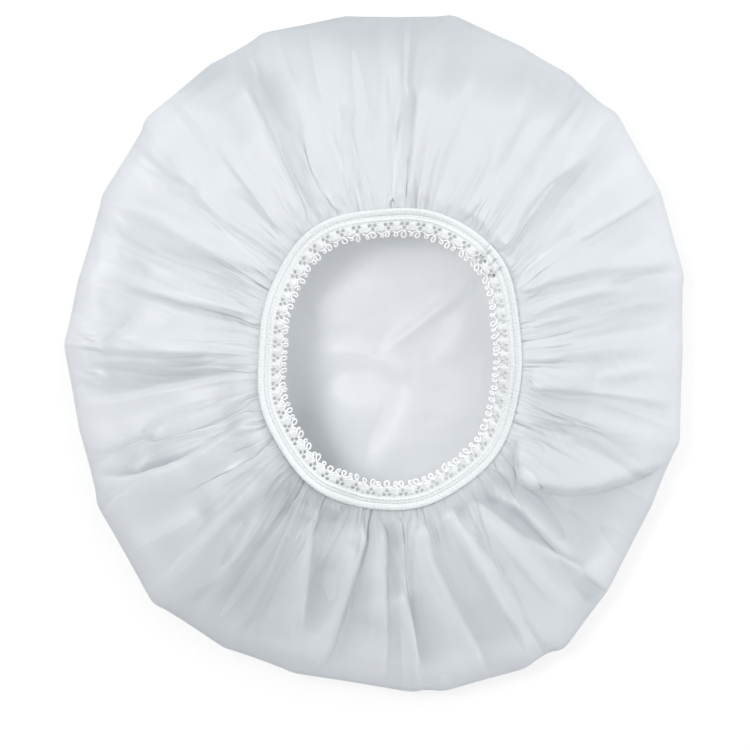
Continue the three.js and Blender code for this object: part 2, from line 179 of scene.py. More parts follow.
def mouth_radius(angle):
    across = np.abs(np.cos(angle)) / (MOUTH_WIDTH / 2)
    along = np.abs(np.sin(angle)) / (MOUTH_LENGTH / 2)
    oval = (across ** MOUTH_SQUARENESS + along ** MOUTH_SQUARENESS) ** (-1 / MOUTH_SQUARENESS)
    return oval + JOIN_BULGE * np.maximum(0, np.cos(angle - JOIN_ANGLE)) ** 4


def mouth_level(angle):
    return MOUTH_HEIGHT + MOUTH_WAVE * np.cos(2 * (angle - JOIN_ANGLE))


def waves_at(angle, waves):
    return sum(size * np.sin(number * (angle - JOIN_ANGLE) + start) for size, number, start in waves)


def band_sway(angle, across):
    """How far the soft band strays: outwards, and upwards where its inner edge tips."""
    twist = np.exp(-((np.cos((angle - TWIST_ANGLE) / 2) ** 2 - 1) / TWIST_SPREAD) ** 2)
    tip = waves_at(angle, TIP_WAVES) + TWIST_TIP * twist
    inwards = np.clip(across, 0, BORDER_EDGE) / BORDER_EDGE
    outward = waves_at(angle, OUTWARD_WAVES) - TWIST_DRAW * twist * inwards
    return outward, waves_at(angle, UPWARD_WAVES) + tip * inwards


def mouth_point(angle, across, height):
    outward, upward = band_sway(angle, across)
    radius = mouth_radius(angle) - across + outward
    return np.stack([
        MOUTH_SHIFT[0] + radius * np.cos(angle),
        MOUTH_SHIFT[1] + radius * np.sin(angle),
        height + upward,
    ], -1)


def band_point(turned, across, up):
    """A place on the band, by how far round it runs, how far in from its outer edge, and how far up it is."""
    angle = BAND_START + turned
    rise = (BAND_THICKNESS + LAP_GAP) * smooth(turned, TURN - LAP_RISE, TURN)
    return mouth_point(angle, across, mouth_level(angle) + rise + up)


# ---- the film

# The film's grid has so many columns round the cap, and its rings are spread up to each of these shares of the
# film's length, which runs from the middle of the crown to the edge under the band
COLUMNS = FOLDS * 40
RINGS = [(0.6, 45), (0.92, 32), (1, 17)]
FILM_SEED = 7

# Places along each straight panel of the rim, and how often its corners are rounded
RIM_PLACES = 60
RIM_ROUNDINGS = 12

# Shares of the film's length where it turns, with its reach as a share of the rim and its height; and over how
# many thousandths of its length a turn is rounded
CROWN_PROFILE = [
    (0.0, 0.0, 0.0), (0.468, 0.8, 0.06), (0.53, 0.9, 1.6), (0.585, 0.985, 5.5),
    (0.606, 1.0, 10.5), (0.62, 0.997, 13.4), (0.645, 0.955, 17.2),
]
TURN_ROUNDING = 19
SHOULDER = CROWN_PROFILE[-1][0]
# Shares of the film's length where it meets the band, with how far in from the band's outer edge it has come
SEAM_PROFILE = [(0.97, -2.2), (0.981, 0.45), (1.0, 4.95)]
BAND_MEETS = SEAM_PROFILE[0][0]
# How far the folds are spread out evenly by the time that they reach the mouth
EVEN_SHARE = 0.5

# The skirt is puffed up as a whole, and sinks between its folds; low hills, so high and so far apart, lie on it
# and on the crown, which stays a little above the table
SKIRT_PUFF = 2.5
SKIRT_SINK = 1.9
SKIRT_HILLS = (0.8, 55)
CROWN_HILLS = (0.9, 42)
HILL_WAVES = 48
LEAST_HEIGHT = 0.06
# At the rim a fold stands out and up by these shares of its height
RIM_OUT = 0.1
RIM_UP = 0.9

# The shares of the film's length between which each of these begins, and then those between which it ends
SKIRT_LIMITS = (0.6, 0.72, 0.93, 0.985)
SINK_LIMITS = (0.62, 0.7, 0.9, 0.97)
CREASE_LIMITS = (0.6, 0.66, 0.955, 0.984)
RIM_END = (0.7, 0.62)
CROWN_HILLS_END = (0.46, 0.4)
CROWN_CREASES_END = (0.45, 0.36)

# The gathers under the band
SEAM_PLEATS = 130
SEAM_PLEATS_BEGIN = (0.981, 0.99)
SEAM_PLEAT_REACH = 1.4
SEAM_PLEAT_RISE = 0.13

# The broad folds run from one share of the film's length to another; each is a rounded ridge, which
# spreads at its outer end and its inner end over so much of the way to the next
MAIN_ENDS = (0.54, 0.965)
MAIN_SPREADS = (0.46, 0.3)
MAIN_HEIGHT = 3.4
MAIN_LEAN = 0.3

# Each set of smaller folds: how many, the shares of the film's length between which one starts and ends
# (outer end, then inner end), half its width at each end, its height, how far it leans over, and how far it
# strays from its even place
FOLD_SETS = [
    {"count": 40, "outer": (0.6, 0.82), "inner": (0.95, 0.978), "width": (7.0, 2.6),
     "height": (0.7, 2.0), "lean": 0.5, "jitter": 0.35},
    {"count": 64, "outer": (0.8, 0.92), "inner": (0.965, 0.98), "width": (3.4, 1.6),
     "height": (0.4, 1.1), "lean": 0.35, "jitter": 0.35},
    {"count": 124, "outer": (0.88, 0.958), "inner": (0.974, 0.982), "width": (1.5, 0.95),
     "height": (0.25, 0.7), "lean": 0.25, "jitter": 0.25},
]
# How much wider and how much more leaning than its set one fold may be, and how far it drifts round on its way
# out, as a share of the way to the next
FOLD_WIDTHS = (0.75, 1.3)
FOLD_LEANS = (0.3, 1.3)
FOLD_DRIFT = 0.5

# Flat pleats, where the film lies three deep with a sharp edge on each side: how much wider than its set one
# may be, how strongly the film is drawn over itself, and how far apart its layers lie
PLEAT_SETS = [
    {"count": 13, "outer": (0.64, 0.8), "inner": (0.97, 0.98), "width": (7.0, 1.7), "jitter": 0.42},
    {"count": 14, "outer": (0.8, 0.92), "inner": (0.974, 0.982), "width": (2.6, 1.1), "jitter": 0.42},
]
PLEAT_WIDTHS = (0.5, 1.3)
PLEAT_PULL = 2.3
PLEAT_LAYER = 0.1

# Where the film lies double it is painted whiter: by 1 on a flap, and by so much on a ridge and at a sharp
# bend. On a ridge this white is partly a painted highlight along the crest, and at a bend partly painted light
# that lifts the shade in the creases. A bend is how far the film turns over so many columns, from a slight turn
# to a sharp one, and it is blurred
RIDGE_LAYERS_AND_HIGHLIGHT = 0.7
BEND_LAYERS_AND_LIGHT = 0.8
BEND_REACH = 3
BEND_TURNS = (0.3, 1.2)
BEND_BLUR = 2

# Creases, drawn from where they start near the band or the rim, in pixels of the photograph:
# the way they run, half the width, the height on their left-hand side, and how far they lean to the right
PIXEL = 0.434
CAP_MIDDLE = (373.5, 353.5)
RIDGES = [
    ([(267, 473), (206, 537), (153, 595)], 2.6, 2.6, 0.8),
    ([(272, 500), (236, 556), (204, 600), (190, 622)], 2.8, 2.0, -0.8),
    ([(482, 487), (520, 505), (560, 545), (598, 575)], 3.0, 2.8, 1.2),
    ([(470, 500), (505, 540), (548, 590), (580, 615)], 3.4, 2.0, 1.0),
    ([(452, 512), (478, 560), (508, 606), (545, 640)], 4.2, 2.4, 1.2),
    ([(262, 275), (210, 250), (160, 222), (112, 199)], 2.8, 2.4, 0.8),
    ([(285, 238), (262, 200), (232, 160), (205, 128)], 2.6, 1.8, -0.8),
    ([(318, 212), (308, 170), (303, 120), (294, 70)], 2.4, 1.8, 0.2),
    ([(352, 206), (346, 160), (330, 110)], 1.8, 1.6, -0.6),
    ([(388, 206), (392, 150), (398, 96), (396, 50)], 2.2, 1.6, 0.6),
    ([(430, 208), (440, 160), (462, 110), (480, 60)], 2.2, 1.8, -0.6),
    ([(458, 214), (485, 160), (497, 108)], 1.5, 1.6, 0.6),
    ([(525, 316), (552, 301), (600, 291), (645, 285)], 3.0, 2.0, 0.6),
    ([(256, 338), (198, 342), (167, 337), (120, 322)], 3.4, 1.8, 0.6),
    ([(134, 478), (144, 454), (162, 423)], 2.2, 2.0, 0.6),
    ([(590, 380), (625, 375), (649, 369), (655, 345)], 2.4, 1.6, -0.6),
]
FLAPS = [
    ([(517, 438), (522, 462), (524, 480), (545, 483), (571, 487), (597, 483), (625, 475), (652, 463),
      (678, 457)], 2.6, 4.6, 2.6),
    ([(361, 520), (361, 540), (355, 562), (336, 620), (317, 674)], 2.4, -3.4, -1.8),
    ([(262, 412), (236, 434), (211, 449), (170, 473), (134, 480), (118, 482), (101, 478), (92, 466)],
     2.2, 3.4, 1.8),
    ([(104, 512), (129, 493), (156, 476), (190, 462)], 2.0, -2.6, -1.2),
    ([(256, 376), (210, 382), (146, 394), (80, 407)], 2.8, 2.4, 0.8),
    ([(210, 352), (160, 353), (106, 349), (129, 330), (150, 306)], 2.2, -2.2, -1.0),
    ([(222, 407), (206, 412), (163, 421), (142, 440)], 1.8, 1.8, 0.8),
    ([(496, 262), (508, 240), (523, 210), (547, 182), (590, 155)], 3.2, 4.2, 1.2),
    ([(575, 243), (597, 230), (617, 218), (661, 190)], 1.6, 2.4, 0.8),
    ([(516, 294), (561, 279), (600, 270), (681, 265)], 2.6, 3.0, 1.0),
    ([(522, 387), (572, 389), (630, 397), (680, 406)], 2.6, 2.6, 1.0),
    ([(305, 222), (286, 180), (262, 130), (243, 84)], 2.2, 2.2, 0.8),
    ([(586, 608), (608, 590), (580, 566)], 1.6, -1.8, -0.8),
    ([(383, 518), (384, 580), (384, 640), (383, 686)], 1.6, -1.8, -0.8),
    ([(402, 590), (412, 630), (420, 672)], 1.5, -1.5, -0.6),
    ([(421, 516), (431, 563), (440, 580), (462, 625), (490, 678)], 1.8, -2.4, -1.0),
    ([(447, 506), (478, 548), (507, 583)], 1.8, -2.0, -0.8),
    ([(472, 498), (520, 538), (560, 558), (595, 577)], 2.0, -2.2, -0.8),
    ([(321, 500), (312, 530), (303, 600), (299, 640)], 2.0, -2.0, -0.8),
    ([(352, 200), (343, 160), (336, 100)], 1.4, 1.4, 0.6),
    ([(407, 198), (413, 150), (420, 90)], 1.4, -1.4, -0.6),
]
# Creases of the crown, seen through the mouth
CROWN_RIDGES = [
    ([(385, 362), (396, 342), (430, 316), (462, 290), (480, 262)], 3.0, 2.0, 0.0),
    ([(404, 374), (386, 362), (362, 352), (318, 346)], 3.4, 1.4, 0.0),
    ([(404, 374), (396, 400), (384, 430), (362, 470)], 3.0, -1.5, 0.0),
    ([(312, 318), (350, 300), (400, 280)], 6.0, 1.2, 0.0),
    ([(470, 300), (462, 340), (440, 372)], 4.5, 1.2, 0.0),
    ([(326, 380), (350, 392), (396, 380)], 6.0, -1.0, 0.0),
]

# The shares of its way between which a drawn crease begins, and then those between which it ends
RIDGE_ENDS = (-0.02, 0.2, 0.6, 1.02)
FLAP_ENDS = (-0.02, 0.12, 0.8, 1.02)
# A flap, in halves of its width: how far its upper and its lower side reach, and how wide the part is that
# leans over; the share of its height by which its lower side dips, and how soft its white edge is
FLAP_UPPER = 6
FLAP_LOWER = 4
FLAP_OVER = 1.2
FLAP_DIP = 0.35
FLAP_EDGE = 0.3

# Broad soft places, set against the photograph, where the film is painted greyer or whiter: partly because it
# lies single or in many layers, and partly as painted light and shade, such as the band's painted shadow on the
# crown inside the mouth. Each is the middle, half the width and half the length in the photograph's pixels, and
# how much
LAYER_AND_SHADE_PLACES = [
    ((375, 22), (200, 32), -1),
    ((225, 78), (56, 26), -0.77),
    ((480, 75), (70, 26), -0.52),
    ((570, 95), (60, 36), -0.52),
    ((470, 185), (190, 70), 0.26),
    ((300, 150), (70, 60), 0.26),
    ((650, 340), (60, 140), 0.17),
    ((120, 370), (70, 90), 0.47),
    ((470, 320), (40, 90), 0.34),
    ((275, 545), (100, 90), -1),
    ((308, 440), (30, 80), -1.2),
    ((170, 470), (80, 60), -0.3),
    ((325, 470), (24, 36), -0.43),
    ((420, 600), (190, 60), -0.39),
    ((430, 510), (100, 30), -0.52),
    ((540, 500), (90, 60), -0.3),
]


def film_rings():
    """How far along the film, as shares of its length, each ring lies."""
    starts = [0] + [end for end, count in RINGS]
    return np.concatenate([np.linspace(start, end, count)[1:] for start, (end, count) in zip(starts, RINGS)])


def rim_tables():
    """The count of folds up to each place round the rim, with its angle and its distance from the middle."""
    counts = np.linspace(0, FOLDS, FOLDS * RIM_PLACES + 1)
    panel = np.minimum(counts.astype(int), FOLDS - 1)
    corners = np.array(FOLD_SHARES + FOLD_SHARES[:1])[:, :2]
    place = part_way((corners[panel], corners[panel + 1]), (counts - panel)[:, None])
    place = place * (CAP_WIDTH / 2, CAP_LENGTH / 2)
    angles = np.unwrap(np.arctan2(place[:, 1], place[:, 0]))
    return counts, angles, np.hypot(place[:, 0], place[:, 1])


def crown_profile(share, column):
    """One column of the crown's profile, with its turns rounded."""
    fine = np.linspace(0, 1, 1001)
    keys = np.array(CROWN_PROFILE)
    line = np.pad(np.interp(fine, keys[:, 0], keys[:, column]), TURN_ROUNDING // 2, mode="edge")
    kernel = np.hanning(TURN_ROUNDING)
    return np.interp(share, fine, np.convolve(line, kernel / kernel.sum(), "valid"))


def mean_film(share, angle):
    """The film without its folds, as rows of points from the crown out to the rim and in to the band."""
    counts, angles, radii = rim_tables()
    count = np.interp(angle, angles, counts)
    rim = np.interp(angle, angles, radii)
    for step in range(RIM_ROUNDINGS):
        rim = (np.roll(rim, 1) + 2 * rim + np.roll(rim, -1)) / 4
    outer = np.zeros((len(share), COLUMNS, 3))
    around_rim = np.stack([np.cos(angle), np.sin(angle)], -1) * rim[:, None]
    outer[..., :2] = crown_profile(share, 1)[:, None, None] * around_rim
    outer[..., 2] = crown_profile(share, 2)[:, None]
    # The skirt runs from the shoulder in to the band
    mouth_angle = angle + (count / FOLDS * TURN - angle) * EVEN_SHARE
    seam_height = mouth_level(mouth_angle) - SEAM_DROP
    inner = np.stack([mouth_point(mouth_angle, across, seam_height)
                      for across in np.interp(share, *np.transpose(SEAM_PROFILE))])
    along = ramp(share, SHOULDER, BAND_MEETS)[:, None, None]
    mean = outer * (1 - along) + inner * along
    mean[..., 2] += SKIRT_PUFF * np.sin(math.pi * along[..., 0])
    return mean, count


def frame_of(points):
    """Unit steps round the cap and away from the surface at each point of a grid."""
    round_step = np.roll(points, -1, 1) - np.roll(points, 1, 1)
    out_step = np.gradient(points, axis=0)
    away = np.cross(out_step, round_step)
    away /= np.linalg.norm(away, axis=2, keepdims=True)
    round_step /= np.linalg.norm(round_step, axis=2, keepdims=True)
    return round_step, away


def fold_fade(along):
    """How high a fold stands along its way: it rises fast from its outer end and dies away at both."""
    return np.sin(math.pi * along ** 0.8) ** 0.7


def round_from(angle, centre):
    """How far round the cap each column lies from the middle of a fold, the shorter way."""
    return (angle[None, :] - centre + math.pi) % TURN - math.pi


def add_main_folds(share, count, girth, up_by, round_by):
    """Adds the broad folds, one at each corner of the rim."""
    along = ramp(share[:, None], *MAIN_ENDS)
    fade = fold_fade(along)
    spread = part_way(MAIN_SPREADS, along)
    panel_width = girth * TURN / FOLDS
    for number, (x, y, rise, lean) in enumerate(FOLD_SHARES):
        away = (count[None, :] - number + FOLDS / 2) % FOLDS - FOLDS / 2
        shape = np.exp(-(away / spread) ** 2) * fade
        up_by += MAIN_HEIGHT * rise * shape
        round_by += MAIN_LEAN * lean * panel_width * shape


def add_folds(kind, share, girth, angle, rng, up_by, round_by):
    """Adds one set of folds, each a ridge of its own that runs out from the band and fades."""
    for number in range(kind["count"]):
        centre = TURN * (number + rng.uniform(-1, 1) * kind["jitter"]) / kind["count"]
        drift = rng.uniform(-1, 1) * FOLD_DRIFT * TURN / kind["count"]
        outer = rng.uniform(*kind["outer"])
        inner = rng.uniform(*kind["inner"])
        height = rng.uniform(*kind["height"])
        side = rng.choice([-1, 1]) * kind["lean"] * rng.uniform(*FOLD_LEANS)
        width_scale = rng.uniform(*FOLD_WIDTHS)
        along = ramp(share[:, None], outer, inner)
        width = part_way(kind["width"], along) * width_scale
        away = round_from(angle, centre + drift * (1 - along))
        shape = np.exp(-(away * girth / width) ** 2) * fold_fade(along)
        up_by += height * shape
        round_by += side * width * shape


def add_pleats(kind, share, girth, angle, rng, shift, lift):
    """Adds one set of flat pleats: the film runs on, doubles back and runs on again over itself."""
    for number in range(kind["count"]):
        centre = TURN * (number + rng.uniform(-1, 1) * kind["jitter"]) / kind["count"]
        outer = rng.uniform(*kind["outer"])
        inner = rng.uniform(*kind["inner"])
        way = rng.choice([-1, 1])
        width_scale = rng.uniform(*PLEAT_WIDTHS)
        along = ramp(share[:, None], outer, inner)
        width = part_way(kind["width"], along ** 0.7) * width_scale
        pull = PLEAT_PULL * within(along, 0, 0.8, 0.93, 1)
        place = way * round_from(angle, centre) * girth / width
        shift -= way * width * pull * place * np.exp(-place ** 2)
        # Where the film has doubled back it lies above itself
        lift += 2 * PLEAT_LAYER * within(place, -0.6, 0.6, 1.2, 2.6) * smooth(pull, 1, 1.5)


def pleat_shift(share, girth, angle, rng):
    """How far round the film slides where it is laid in flat pleats, and how far each layer is lifted."""
    shift = np.zeros(girth.shape)
    lift = np.zeros(girth.shape)
    for kind in PLEAT_SETS:
        add_pleats(kind, share, girth, angle, rng, shift, lift)
    return shift, lift


def slid_round(values, shift, girth):
    """What a grid of values holds after each place has slid round the cap."""
    column = np.arange(COLUMNS)[None, :] + shift / girth / TURN * COLUMNS
    before = np.floor(column).astype(int)
    part = (column - before)[..., None]
    row = np.arange(len(values))[:, None]
    return values[row, before % COLUMNS] * (1 - part) + values[row, (before + 1) % COLUMNS] * part


def soft_hills(place, length, rng):
    """Soft random hills about a given length apart, between about -1 and 1."""
    total = np.zeros(place.shape[:2])
    for wave in range(HILL_WAVES):
        turn = rng.uniform(0, TURN)
        size = TURN / (length * rng.uniform(0.75, 1.5))
        way = place[..., 0] * math.cos(turn) + place[..., 1] * math.sin(turn)
        total += np.cos(size * way + rng.uniform(0, TURN))
    return total * math.sqrt(2 / HILL_WAVES) * 0.6


def beside_line(place, line):
    """How far each place is to the left of a line, how far along it, and the line's way to the right there."""
    points = (np.array(line) - CAP_MIDDLE) * (PIXEL, -PIXEL)
    lengths = np.linalg.norm(np.diff(points, axis=0), axis=1)
    before = np.concatenate([[0], np.cumsum(lengths)])
    nearest = np.full(place.shape[:2], 1e9)
    left = np.full(place.shape[:2], 1e9)
    along = np.zeros(place.shape[:2])
    right_way = np.zeros(place.shape[:2] + (2,))
    for start, end, length, gone in zip(points, points[1:], lengths, before):
        way = (end - start) / length
        offset = place[..., :2] - start
        run = np.clip(offset @ way, 0, length)
        gap = offset - run[..., None] * way
        distance = np.hypot(gap[..., 0], gap[..., 1])
        side = np.where(gap[..., 1] * way[0] - gap[..., 0] * way[1] >= 0, 1, -1)
        closer = distance < nearest
        nearest = np.where(closer, distance, nearest)
        left = np.where(closer, side * distance, left)
        along = np.where(closer, (gone + run) / before[-1], along)
        right_way = np.where(closer[..., None], (way[1], -way[0]), right_way)
    return left, along, right_way


def draw_ridge(place, crease):
    """How far a crease drawn as a rounded ridge moves the film, and how much whiter it is painted, partly as a
    painted highlight along its crest.
    """
    line, width, height, lean = crease
    left, along, right_way = beside_line(place, line)
    shape = np.exp(-(left / width) ** 2) * within(along, *RIDGE_ENDS)
    move = np.zeros_like(place)
    move[..., 2] = height * shape
    move[..., :2] = lean * shape[..., None] * right_way
    return move, RIDGE_LAYERS_AND_HIGHLIGHT * shape


def draw_flap(place, crease):
    """The same for a flap, whose left-hand side lies over its right-hand side, with its upper side painted
    whiter and its lower side beside the edge darkened by painted shade, the flap's shadow.

    Where the height is negative it is the other way round.
    """
    line, width, height, lean = crease
    left, along, right_way = beside_line(place, line)
    left = left * np.sign(height)
    fade = within(along, *FLAP_ENDS)
    upper = np.exp(-np.maximum(left, 0) / (FLAP_UPPER * width))
    high = smooth(left, -0.5 * width, 0.5 * width) * upper
    low = smooth(-left, 0, width) * np.exp(-np.maximum(-left, 0) / (FLAP_LOWER * width))
    move = np.zeros_like(place)
    move[..., 2] = abs(height) * (high - FLAP_DIP * low) * fade
    over = np.exp(-(left / (FLAP_OVER * width)) ** 2) * fade
    move[..., :2] = lean * over[..., None] * right_way
    # The upper side is painted whiter, and the lower side beside the edge gets painted shade, the flap's shadow
    return move, (smooth(left, -FLAP_EDGE, FLAP_EDGE) * upper - low) * fade


def layers_and_painted_shade(place):
    """How much whiter the film is painted in its broad places, and greyer where the amount is negative, partly
    for its layers and partly as painted light and shade.
    """
    column = place[..., 0] / PIXEL + CAP_MIDDLE[0]
    row = CAP_MIDDLE[1] - place[..., 1] / PIXEL
    return sum(amount * np.exp(-((column - x) / width) ** 2 - ((row - y) / length) ** 2)
               for (x, y), (width, length), amount in LAYER_AND_SHADE_PLACES)


def bend_share(points):
    """How sharply the film is bent across its folds: 0 where it lies smooth and 1 at a sharp crease."""
    ahead = np.roll(points, -BEND_REACH, axis=1) - points
    behind = np.roll(points, BEND_REACH, axis=1) - points
    turned = sum(way / np.linalg.norm(way, axis=2, keepdims=True) for way in (ahead, behind))
    bend = smooth(np.linalg.norm(turned, axis=2), *BEND_TURNS)
    steps = range(-BEND_BLUR, BEND_BLUR + 1)
    return sum(np.roll(bend, step, axis=1) for step in steps) / len(steps)


def folded_film(share, angle, rng):
    """The places of the film's grid as it lies on the cap, and how much whiter it is painted there: for its
    layers, and as painted light and shade.
    """
    mean, count = mean_film(share, angle)
    girth = np.hypot(mean[..., 0], mean[..., 1])
    up_by = np.zeros(mean.shape[:2])
    round_by = np.zeros(mean.shape[:2])
    add_main_folds(share, count, girth, up_by, round_by)
    for kind in FOLD_SETS:
        add_folds(kind, share, girth, angle, rng, up_by, round_by)
    column = share[:, None]
    skirt = within(column, *SKIRT_LIMITS)
    up_by -= SKIRT_SINK * within(column, *SINK_LIMITS)
    hill_height, hill_length = SKIRT_HILLS
    up_by += hill_height * skirt * soft_hills(mean, hill_length, rng)
    round_step, away = frame_of(mean)
    up = away * np.where(away[..., 2:] < 0, -1, 1)
    rim_part = smooth(column, *RIM_END)[..., None]
    outward = mean * (1, 1, 0)
    outward /= np.maximum(np.linalg.norm(outward, axis=2, keepdims=True), 1e-6)
    direction = up * (1 - rim_part) + (RIM_OUT * outward + (0, 0, RIM_UP)) * rim_part
    folded = mean + direction * up_by[..., None] + round_step * round_by[..., None]
    place = folded.copy()
    on_skirt = within(column, *CREASE_LIMITS)
    on_crown = smooth(column, *CROWN_CREASES_END)
    # How much whiter or greyer the film is painted: for its layers, and as painted light and shade
    layers_and_painted_light = layers_and_painted_shade(place)
    drawn = [(on_skirt, draw_ridge, RIDGES), (on_skirt, draw_flap, FLAPS), (on_crown, draw_ridge, CROWN_RIDGES)]
    for part, draw, creases in drawn:
        for crease in creases:
            move, whiteness = draw(place, crease)
            folded += part[..., None] * move
            layers_and_painted_light += part * whiteness
    hill_height, hill_length = CROWN_HILLS
    crown_hills = 0.5 + 0.5 * soft_hills(mean, hill_length, rng)
    folded[..., 2] += hill_height * crown_hills * smooth(column, *CROWN_HILLS_END)
    folded[..., 2] = np.maximum(folded[..., 2], LEAST_HEIGHT)
    shift, lift = pleat_shift(share, girth, angle, rng)
    folded = slid_round(folded, shift, girth) + up * lift[..., None]
    layers_and_painted_light = slid_round(layers_and_painted_light[..., None], shift, girth)[..., 0]
    # Painted whiter at sharp bends: partly for the doubled film, partly painted light that lifts the shade in
    # creases
    layers_and_painted_light = layers_and_painted_light + BEND_LAYERS_AND_LIGHT * skirt * bend_share(folded)
    # Under the band the film is gathered into small pleats that lie flat and overlap
    pleated = smooth(column, *SEAM_PLEATS_BEGIN)
    phase = SEAM_PLEATS * angle[None, :]
    folded += round_step * (SEAM_PLEAT_REACH * pleated * np.sin(phase))[..., None]
    folded[..., 2] += SEAM_PLEAT_RISE * pleated * np.cos(phase)
    return folded, layers_and_painted_light


def film_disc(shares):
    """The film laid flat: a disc of rings and spokes, made by bending a grid round."""
    reach = np.concatenate([[0], shares]) * DISC_RADIUS * MM
    bm = bmesh.new()
    bmesh.ops.create_grid(bm, x_segments=COLUMNS, y_segments=len(shares), size=0.5)
    for vert in bm.verts:
        turned = TURN * round((vert.co.x + 0.5) * COLUMNS) / COLUMNS
        ring = reach[round((vert.co.y + 0.5) * len(shares))]
        vert.co = (ring * math.cos(turned), ring * math.sin(turned), 0)
    bmesh.ops.remove_doubles(bm, verts=bm.verts, dist=1e-6)
    bmesh.ops.recalc_face_normals(bm, faces=bm.faces)
    return mesh_from(bm, "gathered_film")


def film_grid(points, shares):
    """The number of the point at each ring and column of the disc."""
    rings = shares * DISC_RADIUS
    reach = np.hypot(points[:, 0], points[:, 1]) / MM
    ring = np.abs(reach[:, None] - rings[None, :]).argmin(1)
    column = np.rint(np.arctan2(points[:, 1], points[:, 0]) / TURN * COLUMNS).astype(int) % COLUMNS
    outside = reach > 0.5 * rings[0]
    grid = np.full((len(rings), COLUMNS), -1)
    grid[ring[outside], column[outside]] = np.flatnonzero(outside)
    return grid


def make_film():
    shares = film_rings()
    film = film_disc(shares)
    flat = positions(film.data)
    grid = film_grid(flat, shares)
    angle = np.arange(COLUMNS) * TURN / COLUMNS
    shape, layers_and_painted_light = folded_film(shares, angle, np.random.default_rng(FILM_SEED))
    points = np.zeros_like(flat)
    points[:, 2] = shape[0, :, 2].mean() * MM
    points[grid.ravel()] = shape.reshape(-1, 3) * MM
    move_to(film.data, points)
    lay_out(film.data, flat)
    # For the material: the way out from the middle, the share of the film's length, and how much whiter or
    # greyer it is painted, where it lies double and as painted light and shade
    reach = np.hypot(flat[:, 0], flat[:, 1])
    way_out = flat[:, :2] / np.maximum(reach, 1e-9)[:, None]
    keep_values(film.data, "spoke", np.column_stack([way_out, reach / (DISC_RADIUS * MM)]))
    laid_layers_and_light = np.zeros(len(flat))
    laid_layers_and_light[grid.ravel()] = layers_and_painted_light.ravel()
    keep_values(film.data, "layers_and_painted_light", laid_layers_and_light)
    return film


# ---- the lace band

# The flat strip is cut from so many cells along each repeat and rows across
CELLS = 22
BAND_ROWS = 34
# Every edge is rounded over this distance, and is this share of the full thickness
EDGE_ROUND = 0.5
EDGE_THICKNESS = 0.35
# Where the middle of its three eyelets lies in a repeat, as a share of it
TRIAD_SHARE = 0.7
# Eyelets of one repeat: the share of it off that middle, how far in from the outer edge, and the radius
EYELETS = [(-0.165, 6.8, 0.6), (0.165, 6.8, 0.6), (0.0, 8.4, 0.58)]
# Ribs and grooves along the band: how far in, half the width, and how much they rise
RIBS = [(1.3, 0.6, 0.2), (3.0, 0.3, -0.5), (3.9, 0.25, -0.3), (4.8, 0.4, 0.3), (5.6, 0.3, -0.15)]
# The raised petal between the eyelets of two repeats, and the fine lines of stitches across the border
PETAL_SPREAD = 0.2
PETAL_RISE = 0.5
STITCH_LINES = 9
STITCH_LINE_RISE = 0.1
# The heights in the knit between which its yarns go from lit to lost in shade
SHADED_HEIGHTS = (1.15, 0.45)


def repeat_share(along):
    """Where in its repeat a place lies, from -0.5 to 0.5, with the eyelets in the middle."""
    place = along / REPEAT_LENGTH - TRIAD_SHARE
    return place - np.rint(place)


def inner_edge(along):
    return BORDER_EDGE - SCALLOP_DIP * 0.5 * (1 + np.cos(TURN * repeat_share(along)))


def eyelet_gaps(along, across):
    """How far a place is from the rim of each eyelet of its repeat."""
    share = repeat_share(along)
    return np.stack([
        np.hypot((share - x) * REPEAT_LENGTH, across - y) - radius for x, y, radius in EYELETS
    ])


def on_band(points):
    """Bends places on the flat band, in millimetres, round the mouth."""
    turned = points[:, 0] / BAND_LENGTH * BAND_TURN
    return band_point(turned, points[:, 1], points[:, 2]) * MM


def make_band():
    """A flat strip with its eyelets cut out, given thickness, relief and its place round the mouth."""
    bm = bmesh.new()
    bmesh.ops.create_grid(bm, x_segments=REPEATS * CELLS, y_segments=BAND_ROWS, size=0.5)
    bmesh.ops.translate(bm, vec=(0.5, 0.5, 0), verts=bm.verts)
    bmesh.ops.scale(bm, vec=(BAND_LENGTH, BORDER_EDGE, 1), verts=bm.verts)
    for vert in bm.verts:
        edge = inner_edge(vert.co.x)
        vert.co.y += (edge - BORDER_EDGE) * float(smooth(vert.co.y, 0.8 * BORDER_EDGE, BORDER_EDGE))
    middles = np.array([face.calc_center_median() for face in bm.faces])
    cut = (eyelet_gaps(middles[:, 0], middles[:, 1]) < 0).any(0)
    holes = [face for face, gone in zip(bm.faces, cut) if gone]
    bmesh.ops.delete(bm, geom=holes, context="FACES")
    cell = REPEAT_LENGTH / CELLS
    for vert in bm.verts:
        if vert.is_boundary and 0.5 * BORDER_EDGE < vert.co.y < inner_edge(vert.co.x) - cell:
            round_hole(vert)
    bmesh.ops.solidify(bm, geom=bm.faces[:], thickness=BAND_THICKNESS)
    bmesh.ops.recalc_face_normals(bm, faces=bm.faces)
    band = mesh_from(bm, "lace_elastic")
    flat = positions(band.data)
    upper = flat[:, 2] > flat[:, 2].mean()
    flat[:, 2] = band_surface(flat[:, 0], flat[:, 1], upper)
    keep_values(band.data, "depth", smooth(flat[:, 2], *SHADED_HEIGHTS))
    move_to(band.data, on_band(flat))
    lay_out(band.data, flat * MM)
    return band


def round_hole(vert):
    """Moves a corner of a stepped hole out to the eyelet's round rim."""
    along, across = vert.co.x, vert.co.y
    gaps = eyelet_gaps(along, across)
    x, y, radius = EYELETS[int(np.argmin(gaps))]
    offset_x = (float(repeat_share(along)) - x) * REPEAT_LENGTH
    offset_y = across - y
    scale = radius / math.hypot(offset_x, offset_y)
    vert.co.x += offset_x * (scale - 1)
    vert.co.y += offset_y * (scale - 1)


